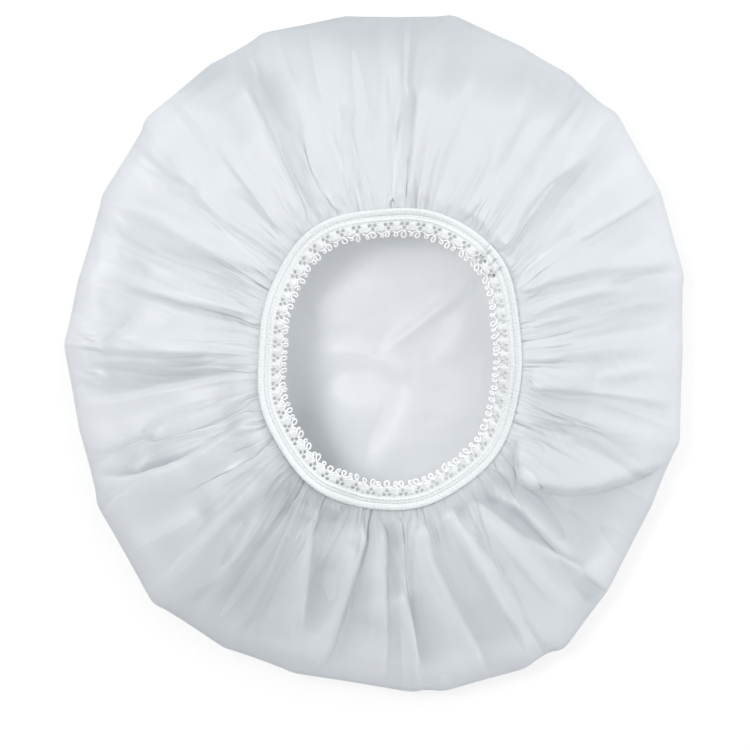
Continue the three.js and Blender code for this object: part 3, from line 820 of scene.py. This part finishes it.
def band_surface(along, across, upper):
    """How high the band's two sides lie: rounded at every edge, ribbed, and raised in petals."""
    gaps = np.concatenate([
        eyelet_gaps(along, across),
        [across, inner_edge(along) - across, along, BAND_LENGTH - along],
    ])
    inside = np.clip(gaps.min(0) / EDGE_ROUND, 0, 1)
    thickness = BAND_THICKNESS * (EDGE_THICKNESS + (1 - EDGE_THICKNESS) * np.sqrt(1 - (1 - inside) ** 2))
    relief = sum(rise * np.exp(-((across - place) / width) ** 2) for place, width, rise in RIBS)
    share = repeat_share(along)
    petal = np.exp(-((np.abs(share) - 0.5) / PETAL_SPREAD) ** 2) * smooth(across, 6.0, 7.2)
    lines = np.cos(TURN * along / (REPEAT_LENGTH / STITCH_LINES)) * smooth(across, 5.6, 6.4)
    relief = relief + PETAL_RISE * petal * inside + STITCH_LINE_RISE * lines * inside
    middle = BAND_THICKNESS / 2
    return np.where(upper, middle + thickness / 2 + relief, middle - thickness / 2)


# ---- the yarn and the threads, each a round cord drawn along its way

def make_cord(name, ways, diameter, roundness=2):
    """A round cord along each way given as flat places on the band, in millimetres."""
    curve = bpy.data.curves.new(name, "CURVE")
    curve.dimensions = "3D"
    curve.bevel_depth = diameter / 2 * MM
    curve.bevel_resolution = roundness
    curve.use_fill_caps = True
    for way in ways:
        points = on_band(way)
        spline = curve.splines.new("POLY")
        spline.points.add(len(points) - 1)
        spline.points.foreach_set("co", np.column_stack([points, np.ones(len(points))]).ravel())
    drawn = add_object(name + "_line", curve)
    mesh = bpy.data.meshes.new_from_object(drawn)
    mesh.name = name
    bpy.data.objects.remove(drawn)
    mesh.polygons.foreach_set("use_smooth", [True] * len(mesh.polygons))
    return add_object(name, mesh)


PICOT_DIAMETER = 0.72
PICOT_SEED = 11
LOOP_POINTS = 16
# Loops of one repeat: the share of the repeat, the reach, and half the swing
LOOPS = [(0.2, 2.2, 1.4), (0.7, 3.1, 1.7)]
# How far a loop's two legs pass over and under each other, and how far its foot is from the band's edge
LOOP_CROSSING = 0.55
LOOP_START = 0.1 * PICOT_DIAMETER
# How much one loop differs: in reach and in swing, and how far its tip strays along the edge and up
LOOP_SIZES = (0.85, 1.1)
TIP_STRAYS = (-0.9, 0.9)
TIP_RISES = (-0.7, 0.5)


def make_picots():
    """One yarn in loops round the mouth, no two of them quite alike."""
    rng = np.random.default_rng(PICOT_SEED)
    way = []
    half = REPEAT_LENGTH / len(LOOPS) / 2
    for number in range(1, REPEATS):
        for share, reach, swing in LOOPS:
            reach = reach * rng.uniform(*LOOP_SIZES)
            swing = swing * rng.uniform(*LOOP_SIZES)
            stray = rng.uniform(*TIP_STRAYS)
            rise = rng.uniform(*TIP_RISES)
            time = np.linspace(-1, 1, LOOP_POINTS, endpoint=False)
            out = (1 + np.cos(math.pi * time)) / 2
            middle = (number + share) * REPEAT_LENGTH
            along = middle + half * time - swing * np.sin(math.pi * time) + stray * out
            across = inner_edge(middle) + LOOP_START + reach * out
            up = BAND_THICKNESS / 2 + LOOP_CROSSING * np.sin(math.pi * time) + rise * out
            way.append(np.stack([along, across, up], 1))
    return make_cord("picot_loops", [np.concatenate(way)], PICOT_DIAMETER, 3)


CORE_DIAMETER = 0.5
CORES_ACROSS = (0.85, 1.65, 2.4)


def make_cores():
    """The elastic threads inside the selvedge, from end to end of the band."""
    along = np.linspace(0, BAND_LENGTH, 361)[2:-2]
    ways = [np.stack([along, across + 0 * along, BAND_THICKNESS / 2 + 0 * along], 1) for across in CORES_ACROSS]
    return make_cord("rubber_cores", ways, CORE_DIAMETER)


SEAM_ACROSS = 3.9
STITCH_LENGTH = 2.3
STITCH_DIAMETER = 0.35
STITCH_POINTS = 7
# Each stitch is a little shorter than its length and a little aslant
STITCH_ENDS = (0.06, 0.94)
STITCH_SLANT = 0.1


def make_stitches(name, low, high):
    """Short separate stitches along the groove, each sinking in at both ends."""
    share = np.linspace(*STITCH_ENDS, STITCH_POINTS)
    across = SEAM_ACROSS + STITCH_SLANT * (share - 0.5)
    up = low + (high - low) * np.sin(math.pi * np.linspace(0, 1, STITCH_POINTS)) ** 0.6
    ways = [np.stack([(number + share) * STITCH_LENGTH, across, up], 1)
            for number in range(int(BAND_LENGTH / STITCH_LENGTH))]
    return make_cord(name, ways, STITCH_DIAMETER)


# The zigzags over the lap: how many, the corners of each, half its width, how far it is from the band's outer
# edge and short of its full width, and how far above the band its corners lie
TACK_ROWS = 3
TACK_CORNERS = 30
TACK_SWING = 0.55
TACK_START = 0.8
TACK_SHORT = 2.4
TACK_LIFT = 0.12
# How far the first and the last zigzag are from the ends of the lap
TACK_MARGINS = (1.8, 1.4)


def make_tack():
    """A dense zigzag over the place where the band's two ends lap."""
    lap_start = BAND_LENGTH * TURN / BAND_TURN
    corner = np.arange(TACK_CORNERS)
    side = np.where(corner % 2 == 0, -TACK_SWING, TACK_SWING)
    across = TACK_START + (BORDER_EDGE - TACK_SHORT) * np.linspace(0, 1, TACK_CORNERS)
    up = BAND_THICKNESS + TACK_LIFT + TACK_LIFT * np.cos(corner * math.pi)
    middles = np.linspace(lap_start + TACK_MARGINS[0], BAND_LENGTH - TACK_MARGINS[1], TACK_ROWS)
    ways = [np.stack([along + side, across, up], 1) for along in middles]
    return make_cord("join_stitches", ways, STITCH_DIAMETER, 3)


# ---- materials

def make_material(name):
    material = bpy.data.materials.new(name)
    material.use_nodes = True
    material.node_tree.nodes.clear()
    return material


def node(tree, kind, inputs=None, **settings):
    """Adds one node, with its settings, and values or links for its inputs."""
    made = tree.nodes.new(kind)
    for key, value in settings.items():
        setattr(made, key, value)
    for key, value in (inputs or {}).items():
        if isinstance(value, bpy.types.NodeSocket):
            tree.links.new(value, made.inputs[key])
        else:
            made.inputs[key].default_value = value
    return made


def maths(tree, operation, *values, **settings):
    inputs = dict(enumerate(values))
    return node(tree, "ShaderNodeMath", inputs, operation=operation, **settings).outputs[0]


def between(tree, value, low, high, start=0.0, end=1.0):
    return node(tree, "ShaderNodeMapRange", {0: value, 1: low, 2: high, 3: start, 4: end},
                interpolation_type="SMOOTHSTEP").outputs[0]


def noise(tree, vector, scale, detail, distortion=0.0):
    inputs = {"Vector": vector, "Scale": scale, "Detail": detail, "Distortion": distortion}
    return node(tree, "ShaderNodeTexNoise", inputs).outputs[0]


def streaks(tree, spoke, length, scale):
    """Noise drawn out along the film's length: the smaller the number for it, the longer the streaks."""
    drawn_out = node(tree, "ShaderNodeVectorMath", {0: spoke, 1: (1, 1, length)}, operation="MULTIPLY")
    return noise(tree, drawn_out.outputs[0], scale, 1.0)


def stepped(tree, soft, steps):
    """Turns soft noise into slopes that each end in a sharp edge."""
    return maths(tree, "FRACT", maths(tree, "MULTIPLY", soft, steps))


def bumped(tree, height, strength, distance, normal=None):
    inputs = {"Height": height, "Strength": strength, "Distance": distance}
    if normal:
        inputs["Normal"] = normal
    return node(tree, "ShaderNodeBump", inputs).outputs[0]


def kept(tree, name, output="Fac"):
    """What keep_values keeps on the piece under this name."""
    return node(tree, "ShaderNodeAttribute", attribute_name=name).outputs[output]


def colour_between(tree, share, first, second):
    return node(tree, "ShaderNodeMix", {0: share, 6: srgb(first), 7: srgb(second)}, data_type="RGBA").outputs[2]


def mixed(tree, share, first, second):
    return node(tree, "ShaderNodeMixShader", {0: share, 1: first.outputs[0], 2: second.outputs[0]})


def finish_surface(tree, shader):
    node(tree, "ShaderNodeOutputMaterial", {"Surface": shader.outputs[0]})


def film_material():
    """Frosted film: milky and see-through, smooth between its creases, and streaked where it is gathered.

    The long streaks run out from the band with a sharp edge on one side, where the film lies over
    itself and is whiter; fine ones lie close to the band, and soft crumples give the crown its facets.
    """
    material = make_material("frosted film")
    tree = material.node_tree
    flat = node(tree, "ShaderNodeUVMap", uv_map="flat").outputs[0]
    spoke = kept(tree, "spoke", "Vector")
    share = node(tree, "ShaderNodeSeparateXYZ", {0: spoke}).outputs[2]
    crumple = noise(tree, flat, 26.0, 2.0, 0.6)
    grain = noise(tree, flat, 160.0, 3.0)
    wide = streaks(tree, spoke, 0.2, 7.0)
    narrow = streaks(tree, spoke, 0.12, 20.0)
    fine = streaks(tree, spoke, 0.1, 66.0)
    on_skirt = between(tree, share, 0.6, 0.72)
    inner_skirt = between(tree, share, 0.7, 0.92)
    near_band = between(tree, share, 0.8, 0.97)
    wide_step = maths(tree, "MULTIPLY", stepped(tree, wide, 5.0), on_skirt)
    narrow_step = maths(tree, "MULTIPLY", stepped(tree, narrow, 4.0), inner_skirt)
    normal = bumped(tree, crumple, 0.55, 0.006)
    normal = bumped(tree, grain, 0.15, 0.0004, normal)
    normal = bumped(tree, wide, maths(tree, "MULTIPLY", on_skirt, 0.5), 0.014, normal)
    normal = bumped(tree, narrow, maths(tree, "MULTIPLY", inner_skirt, 0.4), 0.004, normal)
    normal = bumped(tree, fine, maths(tree, "MULTIPLY", near_band, 0.5), 0.0012, normal)
    whiter = between(tree, share, 0.6, 0.75, 0.86, 0.74)
    # The kept amount holds painted light and shade too: highlights on ridges, light in creases, shadows under
    # flaps
    for layer, amount in ((wide_step, 0.38), (narrow_step, 0.22), (kept(tree, "layers_and_painted_light"), 0.7)):
        whiter = maths(tree, "MULTIPLY_ADD", layer, amount, whiter, use_clamp=True)
    colour = colour_between(tree, whiter, "#d4d9dc", "#fbfdff")
    body = node(tree, "ShaderNodeBsdfPrincipled", {
        "Base Color": colour, "Roughness": 0.42, "IOR": 1.5, "Specular IOR Level": 1.0, "Normal": normal})
    through = node(tree, "ShaderNodeBsdfTranslucent", {"Color": colour, "Normal": normal})
    clear = node(tree, "ShaderNodeBsdfTransparent", {"Color": srgb("#fcfdfd")})
    finish_surface(tree, mixed(tree, 0.08, mixed(tree, 0.5, body, through), clear))
    return material


def knit_material():
    """Bright white knitted lace: matt, with fine rows of stitches, a soft fuzz, and shade deep in its holes."""
    material = make_material("white lace knit")
    tree = material.node_tree
    flat = node(tree, "ShaderNodeUVMap", uv_map="flat").outputs[0]
    rows = node(tree, "ShaderNodeTexWave", {
        "Vector": flat, "Scale": 220.0, "Distortion": 3.0, "Detail": 2.0, "Detail Scale": 1.5})
    normal = bumped(tree, rows.outputs["Color"], 0.3, 0.00025)
    normal = bumped(tree, noise(tree, flat, 1100.0, 3.0), 1.0, 0.0005, normal)
    colour = colour_between(tree, kept(tree, "depth"), "#e8ebec", "#8d9293")
    finish_surface(tree, node(tree, "ShaderNodeBsdfPrincipled", {
        "Base Color": colour, "Roughness": 0.8, "Sheen Weight": 0.25, "Normal": normal}))
    return material


def thread_material(name, colour, roughness):
    """Smooth white thread or pale rubber: plain, with a soft shine."""
    material = make_material(name)
    tree = material.node_tree
    finish_surface(tree, node(tree, "ShaderNodeBsdfPrincipled", {
        "Base Color": srgb(colour), "Roughness": roughness}))
    return material


def background_share(tree):
    """1 for rays that meet the plain background straight, mirrored or clearly through, 0 for scattered ones."""
    path = node(tree, "ShaderNodeLightPath").outputs
    clear = maths(tree, "GREATER_THAN", path["Is Transmission Ray"], path["Is Diffuse Ray"])
    mirrored = maths(tree, "MAXIMUM", path["Is Glossy Ray"], clear)
    return maths(tree, "MAXIMUM", path["Is Camera Ray"], mirrored)


def floor_material():
    """Matt paper, seen as white; it gives back a little less than all the light and keeps a soft shadow."""
    material = make_material("white paper")
    tree = material.node_tree
    seen = background_share(tree)
    colour = colour_between(tree, seen, "#dadada", "#ffffff")
    paper = node(tree, "ShaderNodeBsdfDiffuse", {"Color": colour, "Roughness": 0.0})
    glow = node(tree, "ShaderNodeEmission", {"Color": (1, 1, 1, 1), "Strength": 1.0})
    finish_surface(tree, mixed(tree, maths(tree, "MULTIPLY", seen, 0.75), paper, glow))
    return material


# ---- the floor, the light and the camera, in metres; the lens and the sensor in millimetres

FLOOR_REACH = 3


def make_floor():
    bm = bmesh.new()
    bmesh.ops.create_grid(bm, x_segments=1, y_segments=1, size=FLOOR_REACH)
    floor = mesh_from(bm, "floor", False)
    floor.data.materials.append(floor_material())


# The light from all round is stronger from the side that this points to
WORLD_STRENGTH = 0.73
WORLD_LEAN = (0.64, 0.76, 0.0)
# Each lamp: its name, power in watts, place and size
LAMPS = [
    ("window", 19.3, (-0.928, 0.302, 2.193), 0.7),
    ("softbox", 5.3, (0.229, 0.396, 2.152), 2.0),
]
CAMERA_PLACE = (0.00065, -0.00933, 2.7235)
LENS_LENGTH = 300
SENSOR_WIDTH = 36
NEAREST_SEEN = 0.01


def make_light():
    world = bpy.data.worlds.new("studio")
    bpy.context.scene.world = world
    world.use_nodes = True
    tree = world.node_tree
    tree.nodes.clear()
    facing = node(tree, "ShaderNodeNewGeometry").outputs["Incoming"]
    leaning = node(tree, "ShaderNodeVectorMath", {0: facing, 1: WORLD_LEAN}, operation="DOT_PRODUCT")
    strength = maths(tree, "SUBTRACT", 1.0, leaning.outputs["Value"])
    strength = maths(tree, "MULTIPLY", strength, WORLD_STRENGTH)
    lit = node(tree, "ShaderNodeBackground", {"Color": srgb("#fcfdff"), "Strength": strength})
    seen = node(tree, "ShaderNodeBackground", {"Color": (1, 1, 1, 1), "Strength": 1.0})
    light = mixed(tree, background_share(tree), lit, seen)
    node(tree, "ShaderNodeOutputWorld", {"Surface": light.outputs[0]})
    for name, power, place, size in LAMPS:
        lamp = bpy.data.lights.new(name, "AREA")
        lamp.shape = "DISK"
        lamp.size = size
        lamp.energy = power
        placed = add_object(name, lamp)
        placed.location = place
        aim_at_middle(placed)


def aim_at_middle(obj):
    x, y, z = obj.location
    obj.rotation_euler = (math.atan2(math.hypot(x, y), z), 0, math.atan2(-y, -x) - math.pi / 2)


def make_camera():
    lens = bpy.data.cameras.new("camera")
    lens.lens = LENS_LENGTH
    lens.sensor_width = SENSOR_WIDTH
    lens.clip_start = NEAREST_SEEN
    camera = add_object("camera", lens)
    camera.location = CAMERA_PLACE
    bpy.context.scene.camera = camera


# ---- the cap put together

bpy.context.scene.view_settings.view_transform = "Standard"
make_camera()
make_light()
make_floor()

film = make_film()
film.data.materials.append(film_material())
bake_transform(film)
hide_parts("cap_film")

knit = knit_material()
thread = thread_material("white polyester thread", "#eff1f1", 0.45)
yarn = thread_material("white picot yarn", "#fcfcfc", 0.6)
rubber = thread_material("pale rubber core", "#e9e4d6", 0.5)
# Each piece on the band: its material, its slot and the nodes that it stands for. The stitches are given the
# heights of their ends and their middles above the band's underside.
pieces = [
    (make_band(), knit, "knit", ["lace_band"]),
    (make_picots(), yarn, "knit", ["picot_yarn"]),
    (make_cores(), rubber, "rubber", ["elastic_core_1", "elastic_core_2", "elastic_core_3"]),
    (make_stitches("needle_stitches", 0.8, 1.2), thread, "thread", ["needle_thread"]),
    (make_stitches("bobbin_stitches", -0.55, -0.8), thread, "thread", ["bobbin_thread"]),
    (make_tack(), thread, "thread", ["join_tack"]),
]
for piece, material, slot, nodes in pieces:
    piece.data.materials.append(material)
    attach(piece, "band")
    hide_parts(*nodes)
